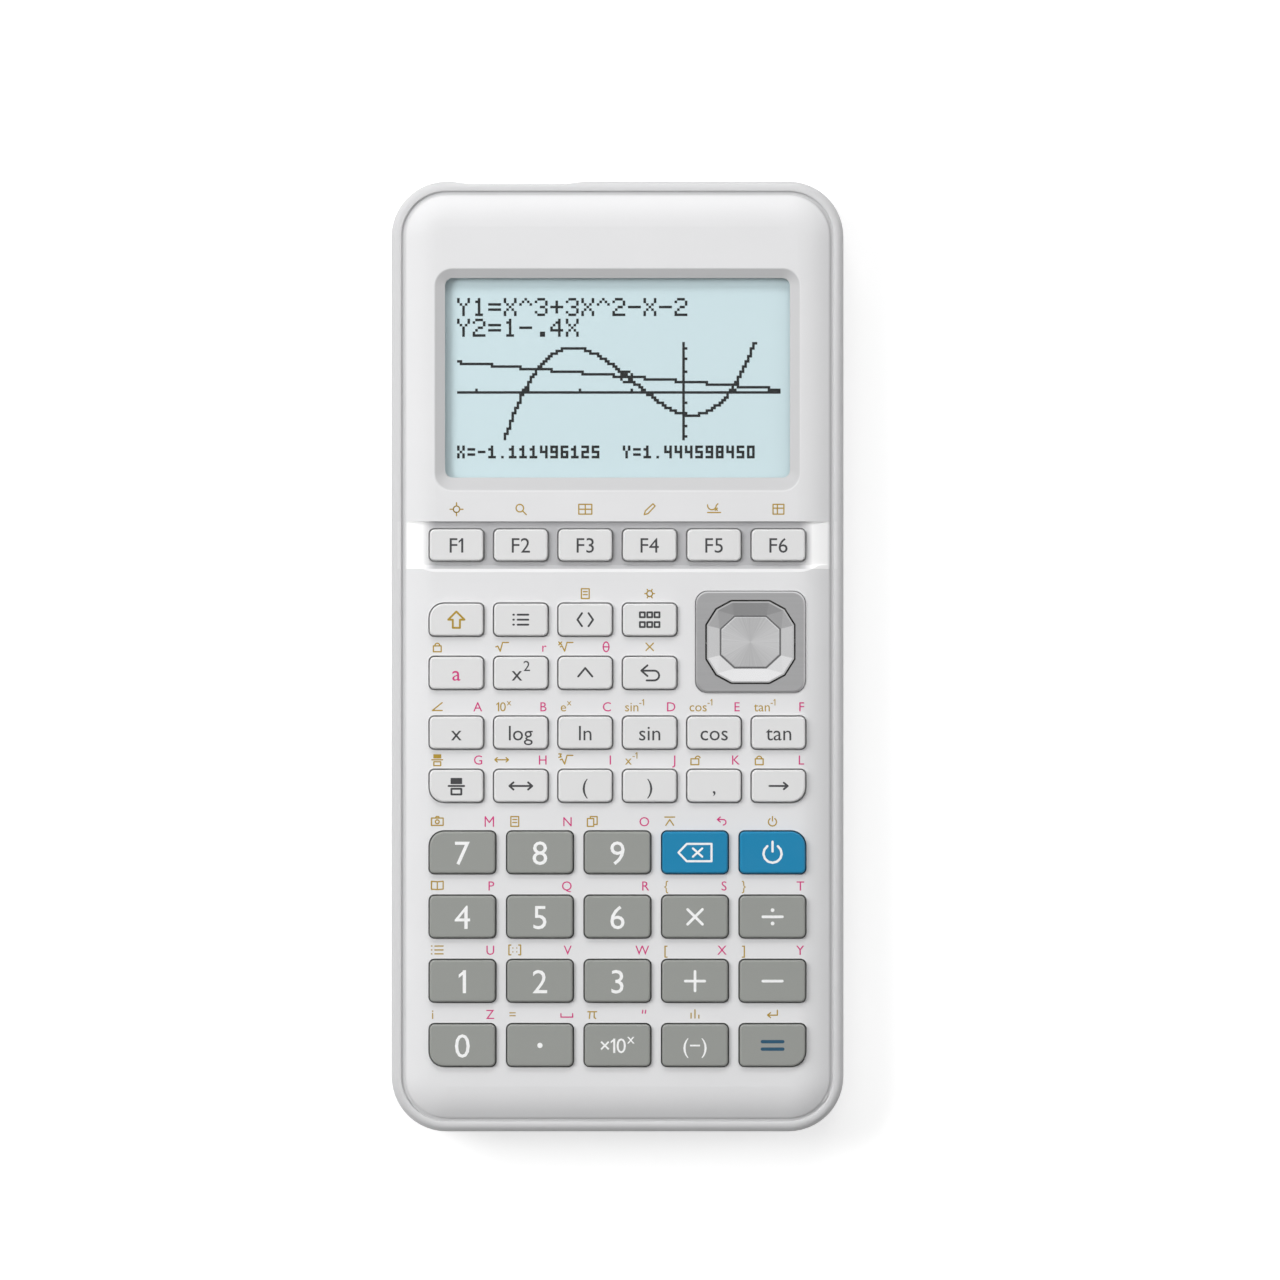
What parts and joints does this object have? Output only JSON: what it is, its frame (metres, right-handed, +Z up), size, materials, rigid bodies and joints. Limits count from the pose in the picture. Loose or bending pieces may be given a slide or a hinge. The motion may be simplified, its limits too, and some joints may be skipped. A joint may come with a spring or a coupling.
{
  "type": "graphing calculator",
  "caption": "Handheld graphing calculator with a dot-matrix screen, push keys, a tilting cursor pad, a rear battery cover and sockets in its top edge.",
  "frame": {"origin": "centre of the footprint, on the surface that the standing pads rest on", "axes": "+X across the keys to the right, +Y from the keys towards the screen, +Z up out of the screen"},
  "size_m": [0.0834, 0.1756, 0.0184],
  "materials": {
    "case_plastic": "fine satin, light grey",
    "rear_plastic": "fine texture, light grey",
    "lens": "clear acrylic",
    "bezel_metal": "satin metallised",
    "pad_metal": "faceted, spun disc",
    "lcd_glass": "polariser",
    "membrane_rubber": "moulded silicone",
    "board": "solder mask",
    "cell_jacket": "sleeved steel",
    "contact_metal": "nickel plated",
    "screw_steel": "zinc plated",
    "socket_black": "black moulding",
    "key_pale": "satin, light grey",
    "key_grey": "satin, mid grey",
    "key_blue": "satin, blue",
    "pivot_plastic": "acetal"
  },
  "bodies": {
    "case": {"front_case": "case_plastic", "rear_case": "rear_plastic", "display_window": "lens", "cursor_bezel": "bezel_metal", "lcd_module": "lcd_glass", "key_membrane": "membrane_rubber", "circuit_board": "board", "aaa_cells": "cell_jacket", "battery_contacts": "contact_metal", "case_screws": "screw_steel", "port_sockets": "socket_black"},
    "battery_cover": {"battery_cover": "rear_plastic"},
    "cursor_pivot": {"cursor_pivot": "pivot_plastic"},
    "cursor_pad": {"cursor_pad": "pad_metal"},
    "key_f1": {"key_f1": "key_pale"},
    "key_f2": {"key_f2": "key_pale"},
    "key_f3": {"key_f3": "key_pale"},
    "key_f4": {"key_f4": "key_pale"},
    "key_f5": {"key_f5": "key_pale"},
    "key_f6": {"key_f6": "key_pale"},
    "key_shift": {"key_shift": "key_pale"},
    "key_options": {"key_options": "key_pale"},
    "key_variables": {"key_variables": "key_pale"},
    "key_menu": {"key_menu": "key_pale"},
    "key_alpha": {"key_alpha": "key_pale"},
    "key_square": {"key_square": "key_pale"},
    "key_power": {"key_power": "key_pale"},
    "key_exit": {"key_exit": "key_pale"},
    "key_variable": {"key_variable": "key_pale"},
    "key_log": {"key_log": "key_pale"},
    "key_ln": {"key_ln": "key_pale"},
    "key_sin": {"key_sin": "key_pale"},
    "key_cos": {"key_cos": "key_pale"},
    "key_tan": {"key_tan": "key_pale"},
    "key_fraction": {"key_fraction": "key_pale"},
    "key_convert": {"key_convert": "key_pale"},
    "key_open_bracket": {"key_open_bracket": "key_pale"},
    "key_close_bracket": {"key_close_bracket": "key_pale"},
    "key_comma": {"key_comma": "key_pale"},
    "key_arrow": {"key_arrow": "key_pale"},
    "key_7": {"key_7": "key_grey"},
    "key_8": {"key_8": "key_grey"},
    "key_9": {"key_9": "key_grey"},
    "key_delete": {"key_delete": "key_blue"},
    "key_clear": {"key_clear": "key_blue"},
    "key_4": {"key_4": "key_grey"},
    "key_5": {"key_5": "key_grey"},
    "key_6": {"key_6": "key_grey"},
    "key_multiply": {"key_multiply": "key_grey"},
    "key_divide": {"key_divide": "key_grey"},
    "key_1": {"key_1": "key_grey"},
    "key_2": {"key_2": "key_grey"},
    "key_3": {"key_3": "key_grey"},
    "key_plus": {"key_plus": "key_grey"},
    "key_minus": {"key_minus": "key_grey"},
    "key_0": {"key_0": "key_grey"},
    "key_decimal": {"key_decimal": "key_grey"},
    "key_exponent": {"key_exponent": "key_grey"},
    "key_negative": {"key_negative": "key_grey"},
    "key_execute": {"key_execute": "key_grey"}
  },
  "joints": [
    {"name": "key_f1_press", "type": "slide", "parent": "case", "child": "key_f1", "axis": [0, 0, -1], "range_m": [0, 0.0007], "stiffness_N_per_m": 800, "springref_m": -0.0004},
    {"name": "key_f2_press", "type": "slide", "parent": "case", "child": "key_f2", "axis": [0, 0, -1], "range_m": [0, 0.0007], "stiffness_N_per_m": 800, "springref_m": -0.0004},
    {"name": "key_f3_press", "type": "slide", "parent": "case", "child": "key_f3", "axis": [0, 0, -1], "range_m": [0, 0.0007], "stiffness_N_per_m": 800, "springref_m": -0.0004},
    {"name": "key_f4_press", "type": "slide", "parent": "case", "child": "key_f4", "axis": [0, 0, -1], "range_m": [0, 0.0007], "stiffness_N_per_m": 800, "springref_m": -0.0004},
    {"name": "key_f5_press", "type": "slide", "parent": "case", "child": "key_f5", "axis": [0, 0, -1], "range_m": [0, 0.0007], "stiffness_N_per_m": 800, "springref_m": -0.0004},
    {"name": "key_f6_press", "type": "slide", "parent": "case", "child": "key_f6", "axis": [0, 0, -1], "range_m": [0, 0.0007], "stiffness_N_per_m": 800, "springref_m": -0.0004},
    {"name": "key_shift_press", "type": "slide", "parent": "case", "child": "key_shift", "axis": [0, 0, -1], "range_m": [0, 0.0007], "stiffness_N_per_m": 800, "springref_m": -0.0004},
    {"name": "key_options_press", "type": "slide", "parent": "case", "child": "key_options", "axis": [0, 0, -1], "range_m": [0, 0.0007], "stiffness_N_per_m": 800, "springref_m": -0.0004},
    {"name": "key_variables_press", "type": "slide", "parent": "case", "child": "key_variables", "axis": [0, 0, -1], "range_m": [0, 0.0007], "stiffness_N_per_m": 800, "springref_m": -0.0004},
    {"name": "key_menu_press", "type": "slide", "parent": "case", "child": "key_menu", "axis": [0, 0, -1], "range_m": [0, 0.0007], "stiffness_N_per_m": 800, "springref_m": -0.0004},
    {"name": "key_alpha_press", "type": "slide", "parent": "case", "child": "key_alpha", "axis": [0, 0, -1], "range_m": [0, 0.0007], "stiffness_N_per_m": 800, "springref_m": -0.0004},
    {"name": "key_square_press", "type": "slide", "parent": "case", "child": "key_square", "axis": [0, 0, -1], "range_m": [0, 0.0007], "stiffness_N_per_m": 800, "springref_m": -0.0004},
    {"name": "key_power_press", "type": "slide", "parent": "case", "child": "key_power", "axis": [0, 0, -1], "range_m": [0, 0.0007], "stiffness_N_per_m": 800, "springref_m": -0.0004},
    {"name": "key_exit_press", "type": "slide", "parent": "case", "child": "key_exit", "axis": [0, 0, -1], "range_m": [0, 0.0007], "stiffness_N_per_m": 800, "springref_m": -0.0004},
    {"name": "key_variable_press", "type": "slide", "parent": "case", "child": "key_variable", "axis": [0, 0, -1], "range_m": [0, 0.0007], "stiffness_N_per_m": 800, "springref_m": -0.0004},
    {"name": "key_log_press", "type": "slide", "parent": "case", "child": "key_log", "axis": [0, 0, -1], "range_m": [0, 0.0007], "stiffness_N_per_m": 800, "springref_m": -0.0004},
    {"name": "key_ln_press", "type": "slide", "parent": "case", "child": "key_ln", "axis": [0, 0, -1], "range_m": [0, 0.0007], "stiffness_N_per_m": 800, "springref_m": -0.0004},
    {"name": "key_sin_press", "type": "slide", "parent": "case", "child": "key_sin", "axis": [0, 0, -1], "range_m": [0, 0.0007], "stiffness_N_per_m": 800, "springref_m": -0.0004},
    {"name": "key_cos_press", "type": "slide", "parent": "case", "child": "key_cos", "axis": [0, 0, -1], "range_m": [0, 0.0007], "stiffness_N_per_m": 800, "springref_m": -0.0004},
    {"name": "key_tan_press", "type": "slide", "parent": "case", "child": "key_tan", "axis": [0, 0, -1], "range_m": [0, 0.0007], "stiffness_N_per_m": 800, "springref_m": -0.0004},
    {"name": "key_fraction_press", "type": "slide", "parent": "case", "child": "key_fraction", "axis": [0, 0, -1], "range_m": [0, 0.0007], "stiffness_N_per_m": 800, "springref_m": -0.0004},
    {"name": "key_convert_press", "type": "slide", "parent": "case", "child": "key_convert", "axis": [0, 0, -1], "range_m": [0, 0.0007], "stiffness_N_per_m": 800, "springref_m": -0.0004},
    {"name": "key_open_bracket_press", "type": "slide", "parent": "case", "child": "key_open_bracket", "axis": [0, 0, -1], "range_m": [0, 0.0007], "stiffness_N_per_m": 800, "springref_m": -0.0004},
    {"name": "key_close_bracket_press", "type": "slide", "parent": "case", "child": "key_close_bracket", "axis": [0, 0, -1], "range_m": [0, 0.0007], "stiffness_N_per_m": 800, "springref_m": -0.0004},
    {"name": "key_comma_press", "type": "slide", "parent": "case", "child": "key_comma", "axis": [0, 0, -1], "range_m": [0, 0.0007], "stiffness_N_per_m": 800, "springref_m": -0.0004},
    {"name": "key_arrow_press", "type": "slide", "parent": "case", "child": "key_arrow", "axis": [0, 0, -1], "range_m": [0, 0.0007], "stiffness_N_per_m": 800, "springref_m": -0.0004},
    {"name": "key_7_press", "type": "slide", "parent": "case", "child": "key_7", "axis": [0, 0, -1], "range_m": [0, 0.0007], "stiffness_N_per_m": 800, "springref_m": -0.0004},
    {"name": "key_8_press", "type": "slide", "parent": "case", "child": "key_8", "axis": [0, 0, -1], "range_m": [0, 0.0007], "stiffness_N_per_m": 800, "springref_m": -0.0004},
    {"name": "key_9_press", "type": "slide", "parent": "case", "child": "key_9", "axis": [0, 0, -1], "range_m": [0, 0.0007], "stiffness_N_per_m": 800, "springref_m": -0.0004},
    {"name": "key_delete_press", "type": "slide", "parent": "case", "child": "key_delete", "axis": [0, 0, -1], "range_m": [0, 0.0007], "stiffness_N_per_m": 800, "springref_m": -0.0004},
    {"name": "key_clear_press", "type": "slide", "parent": "case", "child": "key_clear", "axis": [0, 0, -1], "range_m": [0, 0.0007], "stiffness_N_per_m": 800, "springref_m": -0.0004},
    {"name": "key_4_press", "type": "slide", "parent": "case", "child": "key_4", "axis": [0, 0, -1], "range_m": [0, 0.0007], "stiffness_N_per_m": 800, "springref_m": -0.0004},
    {"name": "key_5_press", "type": "slide", "parent": "case", "child": "key_5", "axis": [0, 0, -1], "range_m": [0, 0.0007], "stiffness_N_per_m": 800, "springref_m": -0.0004},
    {"name": "key_6_press", "type": "slide", "parent": "case", "child": "key_6", "axis": [0, 0, -1], "range_m": [0, 0.0007], "stiffness_N_per_m": 800, "springref_m": -0.0004},
    {"name": "key_multiply_press", "type": "slide", "parent": "case", "child": "key_multiply", "axis": [0, 0, -1], "range_m": [0, 0.0007], "stiffness_N_per_m": 800, "springref_m": -0.0004},
    {"name": "key_divide_press", "type": "slide", "parent": "case", "child": "key_divide", "axis": [0, 0, -1], "range_m": [0, 0.0007], "stiffness_N_per_m": 800, "springref_m": -0.0004},
    {"name": "key_1_press", "type": "slide", "parent": "case", "child": "key_1", "axis": [0, 0, -1], "range_m": [0, 0.0007], "stiffness_N_per_m": 800, "springref_m": -0.0004},
    {"name": "key_2_press", "type": "slide", "parent": "case", "child": "key_2", "axis": [0, 0, -1], "range_m": [0, 0.0007], "stiffness_N_per_m": 800, "springref_m": -0.0004},
    {"name": "key_3_press", "type": "slide", "parent": "case", "child": "key_3", "axis": [0, 0, -1], "range_m": [0, 0.0007], "stiffness_N_per_m": 800, "springref_m": -0.0004},
    {"name": "key_plus_press", "type": "slide", "parent": "case", "child": "key_plus", "axis": [0, 0, -1], "range_m": [0, 0.0007], "stiffness_N_per_m": 800, "springref_m": -0.0004},
    {"name": "key_minus_press", "type": "slide", "parent": "case", "child": "key_minus", "axis": [0, 0, -1], "range_m": [0, 0.0007], "stiffness_N_per_m": 800, "springref_m": -0.0004},
    {"name": "key_0_press", "type": "slide", "parent": "case", "child": "key_0", "axis": [0, 0, -1], "range_m": [0, 0.0007], "stiffness_N_per_m": 800, "springref_m": -0.0004},
    {"name": "key_decimal_press", "type": "slide", "parent": "case", "child": "key_decimal", "axis": [0, 0, -1], "range_m": [0, 0.0007], "stiffness_N_per_m": 800, "springref_m": -0.0004},
    {"name": "key_exponent_press", "type": "slide", "parent": "case", "child": "key_exponent", "axis": [0, 0, -1], "range_m": [0, 0.0007], "stiffness_N_per_m": 800, "springref_m": -0.0004},
    {"name": "key_negative_press", "type": "slide", "parent": "case", "child": "key_negative", "axis": [0, 0, -1], "range_m": [0, 0.0007], "stiffness_N_per_m": 800, "springref_m": -0.0004},
    {"name": "key_execute_press", "type": "slide", "parent": "case", "child": "key_execute", "axis": [0, 0, -1], "range_m": [0, 0.0007], "stiffness_N_per_m": 800, "springref_m": -0.0004},
    {"name": "cursor_tilt_up_down", "type": "hinge", "parent": "case", "child": "cursor_pivot", "pos_m": [0.02448, 0.00269, 0.0142], "axis": [1, 0, 0], "range_deg": [-3, 3], "stiffness_Nm_per_rad": 0.4},
    {"name": "cursor_tilt_left_right", "type": "hinge", "parent": "cursor_pivot", "child": "cursor_pad", "pos_m": [0.02448, 0.00269, 0.0142], "axis": [0, 1, 0], "range_deg": [-3, 3], "stiffness_Nm_per_rad": 0.4},
    {"name": "battery_cover_swing", "type": "hinge", "parent": "case", "child": "battery_cover", "pos_m": [0, 0.0749, 0.0012], "axis": [1, 0, 0], "range_deg": [0, 40]}
  ]
}
